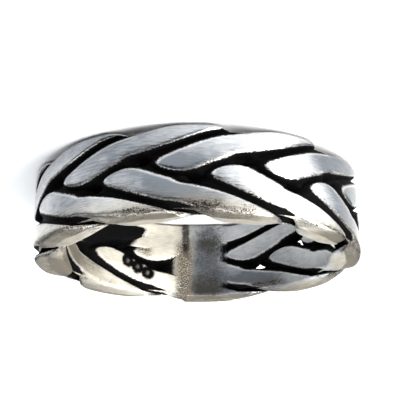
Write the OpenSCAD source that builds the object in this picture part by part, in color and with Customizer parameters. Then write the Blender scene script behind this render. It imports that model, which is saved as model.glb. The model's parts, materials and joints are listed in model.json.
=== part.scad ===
// Braided band ring: a flat braid of five strands, filed flat inside and out,
// bent round and closed by a soldered joint at the back.
// The ring lies on its side, with its axis upright and the joint away from the front.

/* [Band] */
// Inside diameter, a US size 8
finger_d = 18.1; // [15:0.1:22]
// Thickness of the band between its two filed faces
band_t = 2.26; // [1.9:0.02:2.8]
// Width of the band from one filed side to the other
band_w = 5.9; // [5.2:0.1:7]

/* [Braid] */
// Width of a strand half way across the band
strand_w = 1.84; // [1.6:0.02:2.1]
// Width of a strand where it turns back at the side of the band
turn_w = 1.62; // [1.4:0.02:1.8]
// Squareness of a strand's section, 2 for an ellipse
squareness = 2.4; // [2:0.1:3.5]
// Depth filed off the top of a strand
filed = 0.35; // [0.1:0.05:0.6]
// Depth filed off the turns at each side of the band
side_filed = 0.17; // [0.05:0.01:0.3]
// Share by which a strand lingers at the side of the band before it turns in
dwell = 0.02; // [0:0.01:0.15]
// Mean angle round the ring from one strand's turn to the next
lobe_pitch = 40.1; // [36:0.1:44]
// Share by which the braid is pulled tighter at its tightest place
tight_share = 0.164; // [0:0.01:0.2]
// Angle from the front to the tightest place
tight_at = -16.2; // [-90:0.1:90]
// How far the first strand is along its wave at the front
first_turn = 29.3; // [0:0.1:72]

/* [Crossings] */
// Gap between a strand and the one that crosses over it
crossing_gap = 0.12; // [0.08:0.01:0.2]
// Room beside a crossing strand, where the strand under it stays down
side_room = 0.05; // [0.05:0.05:0.3]
// Distance over which a strand comes back up to the filed face
rise_l = 0.7; // [0.5:0.05:1.1]
// Roundness of the finger-shaped end where a strand dives
rise_power = 2.2; // [1.5:0.1:3]

/* [Solder joint] */
// Angle that the flooded joint takes up
joint_span = 20; // [12:1:26]
// Angle from the front to the middle of the joint
joint_at = 185; // [170:1:200]
// Gap between the joint's face and the strands' ends
joint_gap = 0.05; // [0.02:0.01:0.1]
// Bevel along the joint's edges
joint_bevel = 0.2; // [0.1:0.05:0.4]

/* [Smoothness] */
// Sections along each strand
sections = 129; // [80:1:131]
// Steps across the width of a strand
across = 6; // [4:2:6]

/* [Hidden] */
$fn = 96;

strands = 5;
lag = 360 / strands;
half_t = band_t / 2;
inner_r = finger_d / 2;
mid_r = inner_r + half_t;
outer_r = inner_r + band_t;
// Highest point of a strand's middle line above the middle of the band
reach = band_w / 2 + side_filed - turn_w / 2;
// Full height of a strand's back above the contact surface, before filing
crown_h = half_t + filed + crossing_gap / 2;
// Thinnest half of a strand, where two others squeeze its edge
lip = 0.02;
// The braid runs from one face of the joint to the other
end_gap_deg = joint_gap / mid_r * 180 / PI;
first_deg = joint_at + joint_span / 2 - 360 + end_gap_deg;
last_deg = joint_at - joint_span / 2 - end_gap_deg;
// Angle over which the sections turn from square to the strand to flush with the joint
flush_deg = 8;

function clip(t) = min(1, max(0, t));

// How far strand k is along its wave at the angle deg from the front
function wave(deg, k) =
    lag / lobe_pitch * (deg + tight_share * 180 / PI * sin(deg - tight_at)) + first_turn + lag * k;
function wave_rate(deg) = lag / lobe_pitch * (1 + tight_share * cos(deg - tight_at));

// Middle line of a strand, its slope and its half width
function path_z(deg, k) =
    let (p = wave(deg, k)) reach * cos(p) * (1 + dwell * pow(sin(p), 2));
function path_slope(deg, k) =
    let (
        p = wave(deg, k),
        steepness = sin(p) * (1 + dwell * pow(sin(p), 2) - 2 * dwell * pow(cos(p), 2))
    )
    atan(-reach * steepness * wave_rate(deg) / mid_r);
function half_w(deg, k) = (strand_w - (strand_w - turn_w) * pow(cos(wave(deg, k)), 2)) / 2;

// Distance of a place on the band from the middle line of strand k
function offset_from(deg, z, k) = abs(z - path_z(deg, k)) * cos(path_slope(deg, k));

// 0 where strand k crosses this place, 1 where it is clear of it, rounded between
function clear_of(deg, z, k) =
    let (edge = half_w(deg, k) + side_room)
    1 - pow(clip((edge + rise_l - offset_from(deg, z, k)) / rise_l), rise_power);

// Each strand passes under the next two and over the last two
function back(deg, z, k) =
    crown_h * clear_of(deg, z, k + 1) * clear_of(deg, z, k + 2) - crossing_gap / 2;
function belly(deg, z, k) =
    crossing_gap / 2 - crown_h * clear_of(deg, z, k - 1) * clear_of(deg, z, k - 2);

// One point of a section: v is its place across the strand, from -1 to 1
function section_point(deg, k, v, upper) =
    let (
        slope = path_slope(deg, k),
        across_l = v * half_w(deg, k),
        lean = clip(min(deg - first_deg, last_deg - deg) / flush_deg),
        d = deg - lean * across_l * sin(slope) / mid_r * 180 / PI,
        z = path_z(deg, k) + across_l * (lean * cos(slope) + (1 - lean) / cos(slope)),
        b = back(d, z, k),
        u = belly(d, z, k),
        middle = (min(b, half_t) + max(u, -half_t)) / 2,
        round = pow(1 - pow(abs(v), squareness), 1 / squareness),
        h = upper
            ? min(half_t, middle + max(b - middle, lip) * round)
            : max(-half_t, middle - max(middle - u, lip) * round),
        r = mid_r + h
    )
    [r * sin(d), -r * cos(d), band_w / 2 + max(-band_w / 2, min(band_w / 2, z))];

function section_deg(s) = first_deg + (last_deg - first_deg) * s / (sections - 1);
function section(deg, k) = [
    for (i = [0 : across]) section_point(deg, k, -cos(180 * i / across), true),
    for (i = [across - 1 : -1 : 1]) section_point(deg, k, -cos(180 * i / across), false)
];

module strand(k) {
    n = 2 * across;
    points = [for (s = [0 : sections - 1]) each section(section_deg(s), k)];
    // Each four-sided patch is split along the line of the strand that crosses there
    sides = [
        for (s = [0 : sections - 2], i = [0 : n - 1])
            let (
                a = s * n + i,
                b = s * n + (i + 1) % n,
                falling = sin(wave(section_deg(s), k)) > 0,
                outside = i < across
            )
            each falling == outside
                ? [[a, b, b + n], [a, b + n, a + n]]
                : [[a, b, a + n], [b, b + n, a + n]]
    ];
    first_end = [[for (i = [n - 1 : -1 : 0]) i]];
    last_end = [[for (i = [0 : n - 1]) (sections - 1) * n + i]];
    polyhedron(points, concat(sides, first_end, last_end), convexity = 20);
}

module strand_1() { color("#c6c4bf") strand(0); }
module strand_2() { color("#bdbbb6") strand(1); }
module strand_3() { color("#c2c0bb") strand(2); }
module strand_4() { color("#b8b6b1") strand(3); }
module strand_5() { color("#cac8c3") strand(4); }

// The flooded joint: one filed sector that holds all the strands' ends
module solder_joint() {
    c = joint_bevel;
    color("#a7a299")
    rotate([0, 0, joint_at - joint_span / 2 - 90])
    rotate_extrude(angle = joint_span)
    polygon([
        [inner_r, c], [inner_r + c, 0], [outer_r - c, 0], [outer_r, c],
        [outer_r, band_w - c], [outer_r - c, band_w], [inner_r + c, band_w], [inner_r, band_w - c]
    ]);
}

strand_1();
strand_2();
strand_3();
strand_4();
strand_5();
solder_joint();
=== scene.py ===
import json
import math

import bpy
import numpy as np
from mathutils import Matrix, Vector


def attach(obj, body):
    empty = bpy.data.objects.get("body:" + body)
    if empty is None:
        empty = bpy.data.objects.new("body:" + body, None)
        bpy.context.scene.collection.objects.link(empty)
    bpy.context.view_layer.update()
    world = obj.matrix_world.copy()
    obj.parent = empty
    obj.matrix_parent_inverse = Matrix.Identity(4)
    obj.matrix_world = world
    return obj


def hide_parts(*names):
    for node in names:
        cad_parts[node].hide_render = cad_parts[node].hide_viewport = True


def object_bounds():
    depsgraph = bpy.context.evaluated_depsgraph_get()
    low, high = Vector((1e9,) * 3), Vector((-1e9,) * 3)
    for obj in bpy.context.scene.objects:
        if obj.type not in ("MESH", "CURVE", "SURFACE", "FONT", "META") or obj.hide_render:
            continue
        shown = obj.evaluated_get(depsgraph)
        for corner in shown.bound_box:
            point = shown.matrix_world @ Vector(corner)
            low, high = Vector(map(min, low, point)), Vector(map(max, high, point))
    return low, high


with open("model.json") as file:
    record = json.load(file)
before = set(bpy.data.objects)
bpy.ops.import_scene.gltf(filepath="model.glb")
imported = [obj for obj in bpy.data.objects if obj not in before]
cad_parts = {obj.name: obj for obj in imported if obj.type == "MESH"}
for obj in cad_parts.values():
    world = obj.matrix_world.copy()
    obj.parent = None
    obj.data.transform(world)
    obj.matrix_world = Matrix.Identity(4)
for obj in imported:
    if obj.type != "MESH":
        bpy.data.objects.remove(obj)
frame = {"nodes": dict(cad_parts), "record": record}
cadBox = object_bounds()
print("frame loaded:", ", ".join(sorted(frame["nodes"])))

mm = 0.001


# The band, taken from the frame, in millimetres

fingerMount = next(m for m in frame["record"]["mounts"] if m["name"] == "finger")
band = {
    "outerR": (cadBox[1][0] - cadBox[0][0]) / 2 / mm,
    "innerR": fingerMount["dims"]["r_mm"],
    "width": (cadBox[1][2] - cadBox[0][2]) / mm,
}
band["halfT"] = (band["outerR"] - band["innerR"]) / 2
band["midR"] = band["innerR"] + band["halfT"]
band["halfW"] = band["width"] / 2


# Camera: above the floor at the photo's angle, turned over so that the rim that rests is uppermost

cameraSettings = {
    "distance": 72.0,
    "elevation": 17.93,
    "lens": 92.3,
    "sensor": 36,
    "seesFrom": 2.0,  # the nearest and the farthest that it sees, in millimetres
    "seesTo": 10000.0,
    "aimRight": 0.225,  # the ring's centre stands left of the picture's middle
    "aimUp": 1.707,  # and below it
}


def makeCamera(s):
    e = math.radians(s["elevation"])
    centre = Vector((0, 0, band["halfW"])) * mm
    place = centre + Vector((0, -math.cos(e), math.sin(e))) * s["distance"] * mm
    pictureRight = Vector((-1, 0, 0))
    pictureUp = Vector((0, -math.sin(e), -math.cos(e)))
    aim = centre + (pictureRight * s["aimRight"] + pictureUp * s["aimUp"]) * mm
    forward = (aim - place).normalized()
    right = forward.cross(pictureUp).normalized()
    turned = Matrix((right, right.cross(forward), -forward)).transposed().to_4x4()
    data = bpy.data.cameras.new("photoCamera")
    data.lens = s["lens"]
    data.sensor_width = s["sensor"]
    data.clip_start = s["seesFrom"] * mm
    data.clip_end = s["seesTo"] * mm
    camera = bpy.data.objects.new("photoCamera", data)
    camera.matrix_world = Matrix.Translation(place) @ turned
    bpy.context.scene.collection.objects.link(camera)
    bpy.context.scene.camera = camera


makeCamera(cameraSettings)
print("camera placed")


# Small helpers for shader nodes

def addNode(tree, kind, inputs=None, **settings):
    node = tree.nodes.new(kind)
    for name, value in settings.items():
        setattr(node, name, value)
    for name, value in (inputs or {}).items():
        node.inputs[name].default_value = value
    return node


def newMaterial(name):
    material = bpy.data.materials.new(name)
    material.use_nodes = True
    tree = material.node_tree
    tree.nodes.clear()
    shader = addNode(tree, "ShaderNodeBsdfPrincipled")
    output = addNode(tree, "ShaderNodeOutputMaterial")
    tree.links.new(shader.outputs["BSDF"], output.inputs["Surface"])
    return material, tree, shader


# what comes from another node is linked, and a plain value is set
def feed(tree, value, socket):
    if isinstance(value, bpy.types.NodeSocket):
        tree.links.new(value, socket)
    else:
        socket.default_value = value


def mathNode(tree, operation, *values):
    node = addNode(tree, "ShaderNodeMath", operation=operation)
    for value, socket in zip(values, node.inputs):
        feed(tree, value, socket)
    return node.outputs[0]


def plus(tree, a, b):
    return mathNode(tree, "ADD", a, b)


def minus(tree, a, b):
    return mathNode(tree, "SUBTRACT", a, b)


def times(tree, a, b):
    return mathNode(tree, "MULTIPLY", a, b)


def larger(tree, a, b):
    return mathNode(tree, "MAXIMUM", a, b)


# a noise made to swing as far below 0 as above it
def swing(tree, noise, size):
    return mathNode(tree, "MULTIPLY_ADD", noise, size, -size / 2)


def rangeNode(tree, value, limits, results=(0.0, 1.0), smooth=True):
    node = addNode(tree, "ShaderNodeMapRange", interpolation_type="SMOOTHSTEP" if smooth else "LINEAR")
    node.inputs["From Min"].default_value, node.inputs["From Max"].default_value = limits
    node.inputs["To Min"].default_value, node.inputs["To Max"].default_value = results
    tree.links.new(value, node.inputs["Value"])
    return node.outputs["Result"]


def mixColor(tree, share, a, b):
    node = addNode(tree, "ShaderNodeMix", data_type="RGBA")
    tree.links.new(share, node.inputs["Factor"])
    for value, socket in ((a, node.inputs[6]), (b, node.inputs[7])):  # the two colour sockets
        feed(tree, (*value, 1) if isinstance(value, tuple) else value, socket)
    return node.outputs[2]


def noiseNode(tree, vector, scale, detail, roughness=0.55, stretch=None):
    if stretch:
        mapping = addNode(tree, "ShaderNodeMapping", {"Scale": stretch})
        tree.links.new(vector, mapping.inputs["Vector"])
        vector = mapping.outputs["Vector"]
    node = addNode(tree, "ShaderNodeTexNoise", {"Scale": scale, "Detail": detail, "Roughness": roughness})
    tree.links.new(vector, node.inputs["Vector"])
    return node.outputs["Fac"]


def attributeNode(tree, name, socket="Fac"):
    return addNode(tree, "ShaderNodeAttribute", attribute_name=name).outputs[socket]


def bumpNode(tree, height, strength, distance, below=None):
    node = addNode(tree, "ShaderNodeBump", {"Strength": strength, "Distance": distance * mm})
    tree.links.new(height, node.inputs["Height"])
    if below:
        tree.links.new(below, node.inputs["Normal"])
    return node.outputs["Normal"]


# Antiqued silver: satin where it was filed, black and pitted where the file didn't reach.
# What it reads from the mesh: filedDepth is how far a point lies below the filed faces, place is
# where it is on the unrolled band (round the band, across it, outwards), both in millimetres.
# The shares from 0 to 1 are grime with painted shade along the edges, pits, seam, sinks, polish with
# painted light and shade, inside, and painted warm light.

silverSettings = {
    "bright": (0.86, 0.875, 0.89),
    "dull": (0.118, 0.13, 0.148),
    "cream": (0.9, 0.865, 0.775),  # painted warm light, inside and on the sides
    # the same painted warm light on the dull silver
    "dullCream": (0.185, 0.17, 0.14),
    "brown": (0.2, 0.165, 0.125),
    "seamBrown": (0.1, 0.085, 0.065),
    "black": (0.0012, 0.0012, 0.0015),
    "roughness": (0.22, 0.34),  # along the brushed lines
    "roughInside": 0.36,  # how much rougher the inside is
    "roughBlack": 0.6,
    "blackShine": 0.03,
    # noises over the unrolled band: scale, detail, roughness, stretch
    "clouds": (1.1, 3),
    "uprightLines": (9, 3, 0.55, (1, 0.05, 1)),
    "turnedLines": (9, 3, 0.55, (0.05, 1, 1)),
    "crossedLines": (5, 2, 0.55, (0.35, 2.2, 1)),
    "fineGrain": (10, 2),
    "pitGrain": (15, 3, 0.7),
    "smears": (6, 4, 0.65, (0.3, 1.3, 1)),
    "gatherings": (0.9, 2),
    # where in its noise or its share each sets in and is full
    "crossedRange": (0.3, 0.75),
    "satinRange": (0.25, 0.75),
    "gatherRange": (0.35, 0.62),
    "grimeRange": (0.0, 0.35),
    "pitRange": (0.62, 0.76),
    "strayRange": (0.72, 0.78),
    "seamRange": (0.36, 0.52),
    # how much the clouds and the lines change the polish and its painted light and shade
    "cloudy": 0.3,
    "crossed": -0.1,
    "turned": 0.22,
    "uprightShare": 0.35,  # of the relief
    # depths below the filed faces at which each starts and is full, and how strong it gets
    # a burnished edge with a painted highlight along it
    "burnishAndHighlightDepth": (0.03, 0.07),
    "burnishAndHighlight": 0.34,
    "brownDepth": (0.045, 0.13),
    "browned": 0.75,
    "blackDepth": (0.065, 0.13),
    "wander": 0.13,  # how far the border between silver and black wanders
    # tarnish in the pits
    "leastGathered": 0.25,
    "smeared": 0.6,
    "grimePits": 0.26,  # how many more pits there are where grime gathers
    "paintedEdgeShade": 0.6,  # and how brown the silver is between them, as grime and painted shade
    "strayPits": 0.7,
    "pitBlack": 0.96,
    # strength and height of the relief, in millimetres
    "lineRelief": (0.3, 0.03),
    "cloudRelief": (0.25, 0.2),
    "pitRelief": (0.4, 0.04),
}


# colour, roughness and line pattern that the strands and the joint share
def brushedSilver(tree, place, s):
    clouds = noiseNode(tree, place, *s["clouds"])
    upright = noiseNode(tree, place, *s["uprightLines"])
    turned = noiseNode(tree, place, *s["turnedLines"])
    crossed = noiseNode(tree, place, *s["crossedLines"])
    # the silver turns cream where warm light is painted on it
    paintedWarmLight = attributeNode(tree, "paintedWarmLight")
    wornWithPaintedWarmLight = mixColor(tree, paintedWarmLight, s["bright"], s["cream"])
    dull = mixColor(tree, paintedWarmLight, s["dull"], s["dullCream"])
    # the polish share carries painted light and shade round the band as well as the polish
    clouded = plus(tree, attributeNode(tree, "polishAndPaintedLight"), swing(tree, clouds, s["cloudy"]))
    patina = times(tree, rangeNode(tree, crossed, s["crossedRange"]), s["crossed"])
    patina = plus(tree, patina, swing(tree, turned, s["turned"]))
    color = mixColor(tree, plus(tree, clouded, patina), dull, wornWithPaintedWarmLight)
    satin = rangeNode(tree, turned, s["satinRange"], s["roughness"], smooth=False)
    rough = mathNode(tree, "MULTIPLY_ADD", attributeNode(tree, "inside"), s["roughInside"], satin)
    lines = mathNode(tree, "MULTIPLY_ADD", upright, s["uprightShare"], plus(tree, turned, crossed))
    normal = bumpNode(tree, lines, *s["lineRelief"])
    return color, rough, bumpNode(tree, clouds, *s["cloudRelief"], normal)


def antiquedSilver(s):
    material, tree, shader = newMaterial("antiquedSilver")
    place = attributeNode(tree, "place", "Vector")
    depth = attributeNode(tree, "filedDepth")
    fine = noiseNode(tree, place, *s["fineGrain"])
    grain = noiseNode(tree, place, *s["pitGrain"])
    gathered = noiseNode(tree, place, *s["gatherings"])
    gathered = rangeNode(tree, gathered, s["gatherRange"], (s["leastGathered"], 1.0))
    # grime in the pits, and painted shade along the strands' edges
    grimeAndPaintedShade = times(tree, attributeNode(tree, "grimeAndPaintedShade"), gathered)
    grimeAndPaintedShade = larger(tree, grimeAndPaintedShade, attributeNode(tree, "pits"))
    silver, rough, normal = brushedSilver(tree, place, s)

    # the border between silver and black wanders
    uneven = plus(tree, depth, swing(tree, fine, s["wander"]))
    black = rangeNode(tree, uneven, s["blackDepth"])
    # tarnish stays in the pits along the edges, in stray pits and in the round sinks
    smeared = swing(tree, noiseNode(tree, place, *s["smears"]), s["smeared"])
    pitted = mathNode(tree, "MULTIPLY_ADD", grimeAndPaintedShade, s["grimePits"], plus(tree, grain, smeared))
    pitted = rangeNode(tree, pitted, s["pitRange"])
    dirty = times(tree, rangeNode(tree, grimeAndPaintedShade, s["grimeRange"]), pitted)
    strayPits = times(tree, rangeNode(tree, grain, s["strayRange"]), s["strayPits"])
    dirty = times(tree, larger(tree, dirty, strayPits), s["pitBlack"])
    black = larger(tree, larger(tree, black, attributeNode(tree, "sinks")), dirty)

    # the very edge is burnished and carries a painted highlight, then brown, then black
    burnishAndHighlight = times(tree, rangeNode(tree, depth, s["burnishAndHighlightDepth"]), s["burnishAndHighlight"])
    silver = mixColor(tree, burnishAndHighlight, silver, s["bright"])
    edge = times(tree, rangeNode(tree, uneven, s["brownDepth"]), s["browned"])
    # grime and painted shade brown the silver along the strands' edges
    edge = larger(tree, edge, times(tree, grimeAndPaintedShade, s["paintedEdgeShade"]))
    silver = mixColor(tree, edge, silver, s["brown"])
    grainy = times(tree, attributeNode(tree, "seam"), rangeNode(tree, fine, s["seamRange"]))
    silver = mixColor(tree, grainy, silver, s["seamBrown"])
    rough = larger(tree, rough, times(tree, black, s["roughBlack"]))
    tree.links.new(mixColor(tree, black, silver, s["black"]), shader.inputs["Base Color"])
    tree.links.new(minus(tree, 1.0, black), shader.inputs["Metallic"])
    tree.links.new(rough, shader.inputs["Roughness"])
    shader.inputs["Specular IOR Level"].default_value = s["blackShine"]
    normal = bumpNode(tree, minus(tree, 1.0, dirty), *s["pitRelief"], normal)
    tree.links.new(normal, shader.inputs["Normal"])
    return material


# Filed solder: brown and grainy at the seam, smudged where it flowed between the strands

solderSettings = {
    "cream": (0.44, 0.4, 0.33),
    "brown": (0.1, 0.08, 0.06),
    "smudge": (0.05, 0.047, 0.043),
    "black": (0.008, 0.0075, 0.007),
    "grain": (9, 3, 0.65),
    "clouds": (2.5, 4),
    "wander": 0.3,
    "blackDepth": (0.06, 0.3),
    "mottled": (0.44, 0.66),  # where in the grain brown gives way to cream
    "grainSmudge": 1.6,  # how much the grain breaks up the smudges
    "smudgeFrom": 1.3,
    "smudgeRange": (0.1, 1.0),
    "metal": 0.95,
    "grainAtSeam": 0.8,  # relief of the grain at the seam, more than elsewhere
    "grainElsewhere": 0.2,
    "grainRelief": (0.5, 0.08),
}


def solderedSilver(s):
    material, tree, shader = newMaterial("solderedSilver")
    place = attributeNode(tree, "place", "Vector")
    seam = attributeNode(tree, "seam")
    grain = noiseNode(tree, place, *s["grain"])
    filed, rough, normal = brushedSilver(tree, place, silverSettings)
    uneven = plus(tree, attributeNode(tree, "filedDepth"), swing(tree, grain, s["wander"]))
    mottled = mixColor(tree, rangeNode(tree, grain, s["mottled"]), s["brown"], s["cream"])
    filed = mixColor(tree, seam, filed, mottled)
    mixed = plus(tree, times(tree, grain, s["grainSmudge"]), noiseNode(tree, place, *s["clouds"]))
    smudged = plus(tree, attributeNode(tree, "grimeAndPaintedShade"), minus(tree, mixed, s["smudgeFrom"]))
    filed = mixColor(tree, rangeNode(tree, smudged, s["smudgeRange"]), filed, s["smudge"])
    black = rangeNode(tree, uneven, s["blackDepth"])
    tree.links.new(mixColor(tree, black, filed, s["black"]), shader.inputs["Base Color"])
    shader.inputs["Metallic"].default_value = s["metal"]
    tree.links.new(rough, shader.inputs["Roughness"])
    relief = mathNode(tree, "MULTIPLY_ADD", seam, s["grainAtSeam"], s["grainElsewhere"])
    normal = bumpNode(tree, times(tree, grain, relief), *s["grainRelief"], normal)
    tree.links.new(normal, shader.inputs["Normal"])
    return material


silver = antiquedSilver(silverSettings)
solder = solderedSilver(solderSettings)
print("materials made")


# The braid: the same rules as the solids, in degrees and millimetres. deg runs round the band
# from its front, z is the height over the middle of the band, and h is how far a point stands
# out from the middle of the wall. k is the number of the strand.

braid = {
    "strands": 5,
    "strandW": 2.02,  # a strand's width on its way across
    "turnW": 1.68,  # and where it turns at a rim
    "squareness": 1.85,  # power of the curve of its section, more is squarer
    "rimSquareness": 2.3,
    "skirt": 0.3,  # how far the foot of a strand spreads into the recess, as a share of its width
    "skirtT": 0.2,  # and how thick it is, as a share of the strand
    "skirtPower": 3,
    "holes": ((207, 5.0), (234.8, 9.0)),  # degrees where the foot stays back, and how far
    "filed": 0.31,  # what the file took off the strands, at the faces
    "sideFiled": 0.12,  # and at the rims
    "dwell": 0.02,  # how much longer than a plain wave a strand stays at the rims
    "lobePitch": 40.1,  # degrees from lobe to lobe
    "tightShare": 0.164,  # how much closer the lobes stand at one place
    "tightAt": -16.2,
    "firstTurn": 29.3,
    "crossingGap": 0.12,
    "sideRoom": -0.2,  # how far past a strand's edge its neighbour starts to rise
    "riseL": 0.7,  # and the length that it needs for it
    "rimRiseL": 0.8,
    "rimFrom": 0.6,  # the share of half the width from which the values for the rims come in
    "risePower": 1.5,
    "lip": 0.02,  # what is left of a strand's thickness at its edges
    "jointAt": 185,
    "jointSpan": 20,
    "flushDeg": 8,  # how far before the joint the strands' ends start to turn parallel to it
    "edgeRound": 0.13,
    "rimRound": 0.5,  # how far in from the rims the band's faces start to round over
    "rimDrop": 0.3,  # and how much they drop there
    "innerRimRound": 0.25,
    "innerRimDrop": 0.15,
    "rimRub": 0.16,  # how deep the rims are rubbed bright
    "rimRubFrom": 0.65,  # how far in from the rims that starts
    "rimRubOver": 0.3,  # and the length in which it is full
    "sideFrom": 0.2,  # the same for what counts as the side of the band
    "sideOver": 0.15,
    "insideOver": 0.5,  # how far in from the middle of the wall it counts as the inside in full
    "notch": 0.34,  # how far the rims stand back between two turns
    "notchPhases": (0.2, 0.63, 0.8, 1.2),  # radians from a turn: it starts, is full, fades, ends
    "notchPower": 1.5,
    "notchFrom": 1.8,  # and how far from the middle of the band it is felt
}
lag = 360 / braid["strands"]
reach = band["halfW"] + braid["sideFiled"] - braid["turnW"] / 2
crownH = band["halfT"] + braid["filed"] + braid["crossingGap"] / 2
firstDeg = braid["jointAt"] + braid["jointSpan"] / 2 - 360
lastDeg = braid["jointAt"] - braid["jointSpan"] / 2


def ramp(x, start, length):
    return np.clip((x - start) / length, 0, 1)


def softMin(a, b, soft):
    return np.minimum(a, b) - soft * np.log1p(np.exp(-np.abs(a - b) / soft))


def softMax(a, b, soft):
    return -softMin(-a, -b, soft)


def softStep(x, width):
    return 0.5 + 0.5 * np.tanh(x / width)


def wave(deg, k):
    eased = deg + np.degrees(braid["tightShare"]) * np.sin(np.radians(deg - braid["tightAt"]))
    return np.radians(lag / braid["lobePitch"] * eased + braid["firstTurn"] + lag * k)


def waveRate(deg):
    return lag / braid["lobePitch"] * (1 + braid["tightShare"] * np.cos(np.radians(deg - braid["tightAt"])))


def pathZ(deg, k):
    p = wave(deg, k)
    return reach * np.cos(p) * (1 + braid["dwell"] * np.sin(p) ** 2)


def pathSlope(deg, k):
    p = wave(deg, k)
    d = braid["dwell"]
    steepness = np.sin(p) * (1 + d * np.sin(p) ** 2 - 2 * d * np.cos(p) ** 2)
    return np.arctan(-reach * steepness * waveRate(deg) / band["midR"])


def halfStrand(deg, k):
    return (braid["strandW"] - (braid["strandW"] - braid["turnW"]) * np.cos(wave(deg, k)) ** 2) / 2


def offsetFrom(deg, z, k):
    return np.abs(z - pathZ(deg, k)) * np.cos(pathSlope(deg, k))


def atRim(z):
    share = ramp(np.abs(z) / band["halfW"], braid["rimFrom"], 1 - braid["rimFrom"])
    return share * share * (3 - 2 * share)


# 0 where strand k lies, 1 where it leaves room for its neighbours
def clearOf(deg, z, k):
    riseL = braid["riseL"] + (braid["rimRiseL"] - braid["riseL"]) * atRim(z)
    covered = halfStrand(deg, k) + braid["sideRoom"] + riseL - offsetFrom(deg, z, k)
    return 1 - np.clip(covered / riseL, 0, 1) ** braid["risePower"]


# the outer face of a strand dips under the next two
def backOf(deg, z, k):
    return crownH * clearOf(deg, z, k + 1) * clearOf(deg, z, k + 2) - braid["crossingGap"] / 2


# and its inner face lifts over the two before it
def bellyOf(deg, z, k):
    return braid["crossingGap"] / 2 - crownH * clearOf(deg, z, k - 1) * clearOf(deg, z, k - 2)


def skirtSpread(deg, k):
    pierced = sum(np.exp(-((deg % 360 - at) / wide) ** 2) for at, wide in braid["holes"])
    midBand = np.clip(2 * np.sin(wave(deg, k)) ** 2, 0, 1)
    return 1 + braid["skirt"] * midBand * (1 - np.clip(pierced, 0, 1))


def rimNotch(deg, z, k):
    fromTurn = np.abs((wave(deg, k) + np.pi / 2) % np.pi - np.pi / 2)
    start, full, fade, end = braid["notchPhases"]
    share = ramp(fromTurn, start, full - start) ** braid["notchPower"]
    share = share * (1 - ramp(fromTurn, fade, end - fade))
    nearRim = ramp(np.abs(z), braid["notchFrom"], band["halfW"] - braid["notchFrom"])
    return np.sign(z) * braid["notch"] * share * nearRim


def roundness(v, z, spread):
    q = braid["squareness"] + (braid["rimSquareness"] - braid["squareness"]) * atRim(z)
    core = (1 - np.clip(np.abs(v) * spread, 0, 1) ** q) ** (1 / q)
    foot = (1 - np.clip(np.abs(v), 0, 1) ** braid["skirtPower"]) ** (1 / braid["skirtPower"])
    return np.maximum(core, braid["skirtT"] * foot)


def halfThickness(z, outside):
    across = np.where(outside, braid["rimRound"], braid["innerRimRound"])
    drop = np.where(outside, braid["rimDrop"], braid["innerRimDrop"])
    overRim = ramp(np.abs(z), band["halfW"] - across, across)
    return band["halfT"] - drop * (1 - np.sqrt(1 - overRim ** 2))


def onBand(deg, z, h):
    r = band["midR"] + h
    a = np.radians(deg)
    return np.stack([r * np.sin(a), -r * np.cos(a), band["halfW"] + z], -1) * mm


def placeOnBand(deg, z, h):
    return np.stack([np.radians(deg) * band["midR"], z, h], -1)


# the rims are rubbed bright, so that only what lies deeper stays black there
def filedDepth(z, h):
    depth = np.minimum(halfThickness(z, h > 0) - np.abs(h), band["halfW"] - np.abs(z))
    rubbed = ramp(np.abs(z), band["halfW"] - braid["rimRubFrom"], braid["rimRubOver"])
    return np.maximum(depth - braid["rimRub"] * rubbed, 0)


# Meshes from a grid of rings, closed at both ends

def gridFaces(rings, n):
    a = np.arange(rings - 1)[:, None] * n + np.arange(n)[None, :]
    b = np.arange(rings - 1)[:, None] * n + (np.arange(n)[None, :] + 1) % n
    return np.stack([a, b, b + n, a + n], -1).reshape(-1, 4)


def makePiece(name, points, values, material):
    rings, n = points.shape[:2]
    faces = gridFaces(rings, n).tolist()
    faces.append(list(range(n - 1, -1, -1)))
    faces.append(list(range((rings - 1) * n, rings * n)))
    mesh = bpy.data.meshes.new(name)
    mesh.from_pydata(points.reshape(-1, 3).tolist(), [], faces)
    for key, value in values.items():
        kind, field = ("FLOAT_VECTOR", "vector") if value.ndim == 3 else ("FLOAT", "value")
        attribute = mesh.attributes.new(key, kind, "POINT")
        attribute.data.foreach_set(field, value.astype(np.float32).ravel())
    mesh.shade_smooth()
    mesh.materials.append(material)
    piece = bpy.data.objects.new(name, mesh)
    bpy.context.scene.collection.objects.link(piece)
    return piece


# outside from -180 to 180, inside from 0 to 360: the step lies where the camera doesn't see it
def turnedDeg(deg, outside):
    return (deg + 180) % 360 - 180 if outside else deg % 360


# a soft spot, 1 at its middle; a higher power keeps it full for longer round the band
def spot(deg, z, at, height, spreadDeg, spreadZ, power=2):
    return np.exp(-((deg - at) / spreadDeg) ** power - ((z - height) / spreadZ) ** 2)


# 1 over a stretch of the band, with soft ends
def stretchAt(deg, at, spread):
    return np.exp(-((deg - at) / spread) ** 4)


# 1 on the sides of the band, 0 on its faces
def sideShare(z):
    return ramp(np.abs(z), band["halfW"] - braid["sideFrom"], braid["sideOver"])


def inwardShare(h):
    return np.clip(-h / braid["insideOver"], 0, 1)


# 1 on the inside and on the sides of the band, 0 on the outside
def insideShare(z, h):
    return np.maximum(inwardShare(h), sideShare(z))


# Polish of the filed faces with painted light and shade, from 0 to 1. The inside is lighter than the
# outside and the sides are darker, and each patch round the band is painted light where its change is above
# 0 and painted
# shade where it is below: (degrees, height, spread in degrees, spread in height, change)

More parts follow.
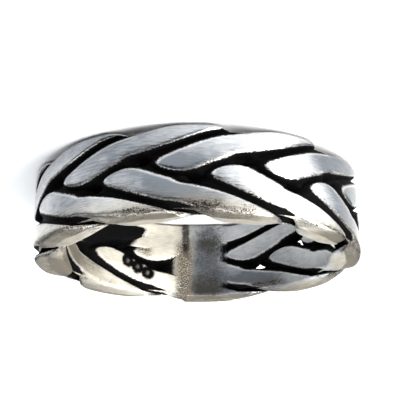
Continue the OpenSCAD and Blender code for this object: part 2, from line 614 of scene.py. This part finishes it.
polishAndPaintedLightSettings = {
    "outside": 0.44,
    "inside": 0.66,
    "sides": -0.3,
    "paintedLightOutside": (
        (30, -1.5, 20, 2.2, -0.32),
        (48, 1.3, 15, 1.6, -0.3),
        (10, 0.8, 14, 2.0, -0.2),
        (3, 0.4, 18, 2.4, -0.3),
        (2, 2.3, 12, 0.8, -0.3),
        (-28, -0.9, 7, 1.2, 0.5),
        (-12, 0.1, 6, 0.9, 0.12),
        (-48, -2.2, 9, 1.2, -0.5),
        (-36, 2.2, 12, 2.0, 0.5),
        (-58, -0.5, 13, 4.0, -0.66),
        (-85, 0.0, 12, 4.0, -0.3),
    ),
    "paintedLightInside": (
        (145, 0.0, 26, 5.0, -0.06),
        (184, 0.2, 9, 4.0, -0.6),
        (216, -0.5, 30, 3.0, -0.3),
        (206, 2.2, 22, 1.5, -0.62),
        (155, 2.2, 13, 1.0, 0.36),
        (160, -1.6, 13, 1.1, -0.2),
        (98, 1.0, 24, 4.0, -0.8),
    ),
}


def polishAndPaintedLightOf(deg, z, outside, s):
    polishAndPaintedLight = (s["outside"] if outside else s["inside"]) + 0 * z
    for *where, change in s["paintedLightOutside"] if outside else s["paintedLightInside"]:
        polishAndPaintedLight = polishAndPaintedLight + change * spot(turnedDeg(deg, outside), z, *where)
    return polishAndPaintedLight


def polishAndPaintedLightShare(deg, z, h, s):
    polishAndPaintedLight = np.where(h > 0, polishAndPaintedLightOf(deg, z, True, s), polishAndPaintedLightOf(deg, z, False, s))
    return np.clip(polishAndPaintedLight + s["sides"] * sideShare(z), 0, 1)


# Painted warm light: cream on the sides, outside towards the upper rim, and inside on one side of the joint

paintedWarmLightSettings = {
    "outsideFrom": 1.2,  # height where it starts outside
    "outsideOver": 1.6,
    "outside": 0.8,
    "insideTo": 180,  # degrees where it ends inside
    "insideToOver": 8,
    "insideFromOver": 45,  # how many degrees from the front it is full
}


def paintedWarmLightShare(deg, z, h, s):
    d = turnedDeg(deg, False)
    beforeJoint = ramp(-d, -s["insideTo"], s["insideToOver"]) * ramp(d, 0, s["insideFromOver"])
    outside = s["outside"] * ramp(z, s["outsideFrom"], s["outsideOver"])
    return np.maximum(np.where(h > 0, outside, inwardShare(h) * beforeJoint), sideShare(z))


# Seam: brown and grainy where the strands run into the joint, with a dark line that is lost
# towards the upper rim

seamSettings = {
    "at": 174.0,
    "spread": 4.5,
    "clean": 0.7,  # how much less of it there is by the rim that rests
    "cleanFrom": 1.0,  # how far below the middle that starts
    "cleanOver": 0.8,
    "lineAt": 174.4,
    "lineSpread": 1.9,
    "lineTo": 0.1,  # height where the line ends
    "lineOver": 1.0,
    "linePits": 0.95,  # how dark it is on the strands
}


def seamShare(deg, z, s):
    clean = s["clean"] * ramp(-z, s["cleanFrom"], s["cleanOver"])
    return stretchAt(turnedDeg(deg, False), s["at"], s["spread"]) * (1 - clean)


def seamLine(deg, z, s):
    line = stretchAt(turnedDeg(deg, False), s["lineAt"], s["lineSpread"])
    return line * ramp(-z, -s["lineTo"], s["lineOver"])


# Pitted places: degrees, height, spread in degrees, spread in height, share

pitSettings = {
    "outside": (
        (20, 2.6, 8, 0.35, 0.72),
        (2, 2.45, 12, 0.35, 1.0),
        (-14, 2.65, 7, 0.35, 0.7),
        (44, 2.7, 8, 0.3, 0.6),
    ),
    "inside": (
        (153, -0.8, 4.5, 0.8, 0.78),
        (214, 2.35, 13, 0.3, 0.78),
        (122, 1.2, 7, 0.9, 0.6),
    ),
}


def pitShare(deg, z, h, s):
    share = 0 * z
    for outside, places in ((True, s["outside"]), (False, s["inside"])):
        for *where, most in places:
            pits = most * spot(turnedDeg(deg, outside), z, *where, power=4)
            share = np.maximum(share, pits * ((h > 0) == outside))
    return share


# Stain: a stretch inside the band that the file didn't reach. It is dark as if it lay deeper.

stainSettings = {
    "depth": 0.3,
    "from": 112.0,
    "to": (141.3, -5.5),  # degrees at the band's middle, and more for each millimetre
    "top": (0.05, -0.03),  # height where it starts, and more for each degree
    "bottom": -2.3,
    "fadeFrom": 4,
    "fadeTo": 3,
    "fadeZ": 0.25,
}


def stainShare(deg, z, h, s):
    (to, toMore), (top, topMore) = s["to"], s["top"]
    onward = deg - s["from"]
    ends = softStep(onward, s["fadeFrom"]) * softStep(to + toMore * z - deg, s["fadeTo"])
    edges = softStep(top + topMore * onward - z, s["fadeZ"]) * softStep(z - s["bottom"], s["fadeZ"])
    return ends * edges * (h < 0)


# Sinks: three plain round ones in a row inside the band, with a dot left standing in each

sinkSettings = {
    "strand": 0,
    "at": 149.2,
    "aside": -0.35,
    "turn": 0.14,  # radians more than the strand's own slope
    "r": 0.56,
    "pitch": 0.92,
    "depth": 0.12,
    "edge": 0.1,
    "dotR": 0.13,
    "dotEdge": 0.12,
    "dotBright": 0.15,  # how much of the black is off the dots
    "innerFrom": 0.6,  # they lie further in than this share of half the wall
}


def sinkShares(deg, z, h, k, s):
    sinks, dots = 0 * deg, 0 * deg
    if k == s["strand"]:
        slope = float(pathSlope(s["at"], k)) + s["turn"]
        x = np.radians(deg - s["at"]) * band["innerR"]
        y = z - float(pathZ(s["at"], k))
        along = x * math.cos(slope) + y * math.sin(slope)
        across = y * math.cos(slope) - x * math.sin(slope) - s["aside"]
        inner = h < -s["innerFrom"] * band["halfT"]
        for i in (-1, 0, 1):
            r = np.hypot(along - i * s["pitch"], across)
            sinks = np.maximum(sinks, inner * ramp(-r, -s["r"] - s["edge"] / 2, s["edge"]))
            dots = np.maximum(dots, inner * ramp(-r, -s["dotR"] - s["dotEdge"] / 2, s["dotEdge"]))
    return sinks, dots


# Grime and painted shade along a strand's edges and where it turns at the upper rim. A pair says where a
# thing starts and the length in which it is full.

grimeAndPaintedShadeSettings = {
    "edge": 0.4,
    "upperEdge": (0.35, 0.5),  # from the strand's middle, as shares of half its width
    "lowerEdge": (0.5, 0.45),
    "lowerShare": 0.6,  # how much of it there is at the lower edge
    "turn": 0.5,
    "turnFromRim": 0.45,
    "turnWide": 0.4,
    "offRims": (0.1, 0.15),
    "highlightBelow": (1.5, 0.5),  # low on the outside the upper edges get a painted warm highlight
    "highlightLift": 0.45,
}


def edgeShares(deg, z, k, s):
    v = (z - pathZ(deg, k)) * np.cos(pathSlope(deg, k)) / halfStrand(deg, k)
    onFace = ramp(band["halfW"] - np.abs(z), *s["offRims"])
    return ramp(v, *s["upperEdge"]) * onFace, ramp(-v, *s["lowerEdge"]) * onFace


def grimeAndPaintedShadeShare(deg, z, k, s):
    upper, lower = edgeShares(deg, z, k, s)
    turning = np.clip(np.cos(wave(deg, k)), 0, 1) ** 2
    besideRim = np.clip(1 - np.abs(band["halfW"] - np.abs(z) - s["turnFromRim"]) / s["turnWide"], 0, 1)
    grimeAndPaintedShade = s["edge"] * np.maximum(upper, s["lowerShare"] * lower) + s["turn"] * besideRim * turning
    return np.clip(grimeAndPaintedShade, 0, 1)


# a painted warm highlight along the upper edges of the strands, low on the outside
def paintedEdgeHighlight(deg, z, h, k, s):
    upper, lower = edgeShares(deg, z, k, s)
    return upper * ramp(-z, *s["highlightBelow"]) * (h > 0)


# Each strand, finer than its solid, with worn edges

strandSettings = {
    "sections": 900,
    "across": 24,
    "intoJoint": 0.1,  # degrees that it reaches into the joint, so that no slit shows
}


def strandPoints(k, s):
    t = np.linspace(0, 1, s["sections"])[:, None]
    deg = firstDeg - s["intoJoint"] + (lastDeg - firstDeg + 2 * s["intoJoint"]) * t
    turn = np.arange(2 * s["across"])[None, :]
    v = -np.cos(np.pi * turn / s["across"])
    outside = turn <= s["across"]
    slope = pathSlope(deg, k)
    spread = skirtSpread(deg, k)
    acrossL = v * halfStrand(deg, k) * spread
    lean = np.clip(np.minimum(deg - firstDeg, lastDeg - deg) / braid["flushDeg"], 0, 1)
    d = deg - lean * np.degrees(acrossL * np.sin(slope) / band["midR"])
    z = pathZ(deg, k) + acrossL * (lean * np.cos(slope) + (1 - lean) / np.cos(slope))
    z = z - lean * rimNotch(d, z, k)
    b = backOf(d, z, k)
    u = bellyOf(d, z, k)
    middle = (np.minimum(b, band["halfT"]) + np.maximum(u, -band["halfT"])) / 2
    top = middle + np.maximum(b - middle, braid["lip"]) * roundness(v, z, spread)
    bottom = middle - np.maximum(middle - u, braid["lip"]) * roundness(v, z, spread)
    soft = braid["edgeRound"]
    zFiled = softMin(softMax(z, -band["halfW"], soft), band["halfW"], soft)
    face = halfThickness(zFiled, outside)
    h = np.where(outside, softMin(top, face, soft), softMax(bottom, -face, soft))
    return d, zFiled, h


for k in range(braid["strands"]):
    deg, z, h = strandPoints(k, strandSettings)
    sinks, dots = sinkShares(deg, z, h, k, sinkSettings)
    depth = filedDepth(z + rimNotch(deg, z, k), h)
    depth = depth + stainSettings["depth"] * stainShare(deg, z, h, stainSettings)
    h = h + sinkSettings["depth"] * sinks * (1 - dots)
    line = seamSettings["linePits"] * seamLine(deg, z, seamSettings)
    # cream here is a painted warm highlight on the strands' upper edges
    cream = paintedEdgeHighlight(deg, z, h, k, grimeAndPaintedShadeSettings)
    # polish with painted light and shade, lifted where the upper edges get a painted highlight
    polishAndPaintedLight = polishAndPaintedLightShare(deg, z, h, polishAndPaintedLightSettings) + grimeAndPaintedShadeSettings["highlightLift"] * cream
    values = {
        "filedDepth": depth,
        "place": placeOnBand(deg, z, h),
        "pits": np.maximum(pitShare(deg, z, h, pitSettings), line),
        "grimeAndPaintedShade": grimeAndPaintedShadeShare(deg, z, k, grimeAndPaintedShadeSettings),
        "seam": seamShare(deg, z, seamSettings),
        "polishAndPaintedLight": np.clip(polishAndPaintedLight, 0, 1),
        "inside": insideShare(z, h),
        "paintedWarmLight": np.maximum(paintedWarmLightShare(deg, z, h, paintedWarmLightSettings), cream),
        "sinks": sinks * (1 - sinkSettings["dotBright"] * dots),
    }
    node = f"strand_{k + 1}"
    strand = makePiece(f"strand{k + 1}Silver", onBand(deg, z, h), values, silver)
    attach(strand, "root")
    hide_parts(node)
print("five strands made")


# The joint: solder that floods the recesses between the strands' ends and is filed over. It
# runs on between the strands on both sides of the joint.

jointSettings = {
    "rings": 200,
    "facePoints": 90,
    "sidePoints": 14,
    "corner": 0.2,
    "start": 145.0,
    "end": 199.0,
    "flushFrom": 173.8,  # it lies flush with the faces from here
    "flushTo": 186.7,  # to here
    # inside, by the rim that rests, it is flush from here: degrees at the middle, and more for
    # each millimetre
    "flushFromLow": (148.2, -4.5),
    "lowZ": -0.6,
    "lowFade": 0.3,
    "fade": 11.0,  # degrees in which it sinks from flush to its thin ends
    "fadePower": 1.6,
    "thin": 0.06,  # half the thickness of those ends
    "proud": 0.25,  # how far it stands over the faces before it is filed down
    "backFromRims": 0.05,
    "backBeside": 0.5,  # how much further back it stays between the strands
    "besideDeg": 4,
    "besidePower": 0.7,
    "overStrands": 0.04,  # softness of the step from the strands' pattern to the solder
    "under": 0.012,  # how far it lies below the filed faces
    "splitAt": 176.0,  # where the pattern of the last lobes gives way to that of the first
    # what darkens it: a smudge, as (degrees, height, spread in degrees, spread in height), the
    # inside towards the upper rim, and a veil over all of it
    "smudge": (187, -1.2, 7, 0.7),
    "smudgeGrime": 0.45,
    "footAt": 185,
    "footSpread": 9,
    "footAbove": (0.9, 1.4),
    "footOffRim": (0.15, 0.2),
    "footDarkening": 0.6,
    "veilAt": 185,
    "veilSpread": 8,
    "veilDarkening": 0.45,
}


# how far the strands' pattern stands out on one face of the wall, far below it where none is
def heightOver(deg, z, outside):
    none = -9.0
    best = np.full(np.broadcast(deg, z).shape, none)
    for k in range(braid["strands"]):
        v = offsetFrom(deg, z, k) / halfStrand(deg, k)
        b = backOf(deg, z, k)
        u = bellyOf(deg, z, k)
        middle = (np.minimum(b, band["halfT"]) + np.maximum(u, -band["halfT"])) / 2
        if outside:
            h = middle + np.maximum(b - middle, braid["lip"]) * roundness(v, z, 1)
        else:
            h = -middle + np.maximum(middle - u, braid["lip"]) * roundness(v, z, 1)
        best = np.maximum(best, np.where(v < 1, h, none))
    return best


# how far the solder stands out on one face: flooded where it lies flush, thin at its ends
def solderLevel(deg, z, outside, s):
    flushFrom = s["flushFrom"] + 0 * z
    if not outside:
        lowFrom, lowMore = s["flushFromLow"]
        low = np.clip((s["lowZ"] - z) / s["lowFade"] + 0.5, 0, 1)
        flushFrom = flushFrom + (lowFrom + lowMore * z - flushFrom) * low
    away = np.clip(np.maximum(flushFrom - deg, deg - s["flushTo"]) / s["fade"], 0, 1)
    highest = band["halfT"] + s["proud"]
    flood = highest - (highest - s["thin"]) * away ** s["fadePower"]
    patternDeg = np.where(deg < s["splitAt"], deg, deg - 360)
    pattern = heightOver(patternDeg + 0 * z, np.clip(z, -band["halfW"], band["halfW"]), outside)
    within = (deg >= lastDeg) & (deg <= firstDeg + 360)
    level = np.where(within, softMax(pattern, flood, s["overStrands"]), flood)
    return softMin(level, halfThickness(z, outside), braid["edgeRound"]) - s["under"]


def jointPoints(s):
    t = np.linspace(0, 1, s["rings"])[:, None]
    deg = s["start"] + (s["end"] - s["start"]) * t
    halfT, halfW, c = band["halfT"], band["halfW"], s["corner"]
    face = np.linspace(-1, 1, s["facePoints"])
    side = np.linspace(-1, 1, s["sidePoints"] + 2)[1:-1]
    shareZ = np.concatenate([face, np.ones(side.size), -face, -np.ones(side.size)])[None, :]
    shareH = np.concatenate([np.ones(face.size), -side, -np.ones(face.size), side])[None, :]
    beside = np.clip(np.maximum(lastDeg - deg, deg - firstDeg - 360) / s["besideDeg"], 0, 1)
    z = shareZ * (halfW - s["backFromRims"] - s["backBeside"] * beside ** s["besidePower"])
    h = shareH * np.where(shareH > 0, solderLevel(deg, z, True, s), solderLevel(deg, z, False, s))
    # round the four corners of the section
    cornerZ = np.clip(np.abs(z) - (halfW - c), 0, c)
    cornerH = np.clip(np.abs(h) - (halfT - c), 0, c)
    reachOut = np.hypot(cornerZ, cornerH)
    shrink = np.where(reachOut > c, c / np.maximum(reachOut, 1e-6), 1)
    z = np.where(reachOut > c, np.sign(z) * (halfW - c + cornerZ * shrink), z)
    h = np.where(reachOut > c, np.sign(h) * (halfT - c + cornerH * shrink), h)
    return deg + 0 * z, z, h


# how much darker the solder is: the seam line, a smudge, a foot inside towards the upper rim and a veil
# over all
def solderDarkening(deg, z, h, s):
    smudge = spot(deg, z, *s["smudge"], power=4)
    foot = stretchAt(deg, s["footAt"], s["footSpread"]) * ramp(z, *s["footAbove"]) * (h < 0)
    foot = foot * ramp(band["halfW"] - z, *s["footOffRim"])
    veil = stretchAt(deg, s["veilAt"], s["veilSpread"])
    darkest = np.maximum(seamLine(deg, z, seamSettings), s["smudgeGrime"] * smudge)
    return np.maximum(darkest, s["footDarkening"] * foot) + s["veilDarkening"] * veil


deg, z, h = jointPoints(jointSettings)
values = {
    "filedDepth": filedDepth(z, h),
    "place": placeOnBand(deg, z, h),
    "seam": seamShare(deg, z, seamSettings),
    "polishAndPaintedLight": polishAndPaintedLightShare(deg, z, h, polishAndPaintedLightSettings),
    "inside": insideShare(z, h),
    "paintedWarmLight": paintedWarmLightShare(deg, z, h, paintedWarmLightSettings),
    "grimeAndPaintedShade": solderDarkening(deg, z, h, jointSettings),
}
joint = makePiece("jointSolder", onBand(deg, z, h), values, solder)
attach(joint, "root")
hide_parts("solder_joint")
print("joint made")


# Floor and soft studio light

floorSettings = {
    "size": 3.0,  # metres
    "color": (0.86, 0.865, 0.87),
    "roughness": 0.6,
}


def makeFloor(s):
    half = s["size"] / 2
    corners = [(-half, -half, 0), (half, -half, 0), (half, half, 0), (-half, half, 0)]
    mesh = bpy.data.meshes.new("floor")
    mesh.from_pydata(corners, [], [(0, 1, 2, 3)])
    material, tree, shader = newMaterial("paleFloor")
    shader.inputs["Base Color"].default_value = (*s["color"], 1)
    shader.inputs["Roughness"].default_value = s["roughness"]
    mesh.materials.append(material)
    floor = bpy.data.objects.new("floor", mesh)
    bpy.context.scene.collection.objects.link(floor)


# azimuth is from the camera, + to the picture's right; sizes and distances are in millimetres
lightSettings = {
    "keyRight": {
        "azimuth": 50, "elevation": 24, "distance": 170,
        "size": (110, 130), "power": 0.5, "color": (1, 0.98, 0.95),
    },
    "intoHollow": {
        "azimuth": 88, "elevation": 50, "distance": 200,
        "size": (120, 120), "power": 0.54, "color": (1, 0.97, 0.9),
    },
    "fillLeft": {
        "azimuth": -75, "elevation": 42, "distance": 220,
        "size": (140, 140), "power": 0.14, "color": (0.97, 0.985, 1),
    },
    "backWarm": {
        "azimuth": 180, "elevation": 28, "distance": 300,
        "size": (260, 160), "power": 0.13, "color": (1, 0.93, 0.82),
    },
    "overhead": {
        "azimuth": -20, "elevation": 84, "distance": 320,
        "size": (300, 300), "power": 1.2, "color": (0.95, 0.975, 1),
    },
}


def makeLight(name, s):
    a, e = math.radians(s["azimuth"]), math.radians(s["elevation"])
    centre = Vector((0, 0, band["halfW"])) * mm
    away = Vector((-math.sin(a) * math.cos(e), -math.cos(a) * math.cos(e), math.sin(e)))
    data = bpy.data.lights.new(name, "AREA")
    data.shape = "RECTANGLE"
    data.size, data.size_y = (side * mm for side in s["size"])
    data.energy = s["power"]
    data.color = s["color"]
    light = bpy.data.objects.new(name, data)
    light.location = centre + away * s["distance"] * mm
    light.rotation_euler = (-away).to_track_quat("-Z", "Y").to_euler()
    bpy.context.scene.collection.objects.link(light)


worldSettings = {
    "color": (0.84, 0.9, 1.0),
    "strength": 0.12,
}


def makeWorld(s):
    world = bpy.data.worlds.new("studio")
    world.use_nodes = True
    background = world.node_tree.nodes["Background"]
    background.inputs["Color"].default_value = (*s["color"], 1)
    background.inputs["Strength"].default_value = s["strength"]
    bpy.context.scene.world = world


makeFloor(floorSettings)
for name, settings in lightSettings.items():
    makeLight(name, settings)
makeWorld(worldSettings)
bpy.context.scene.view_settings.view_transform = "Standard"
print("floor and lights made")
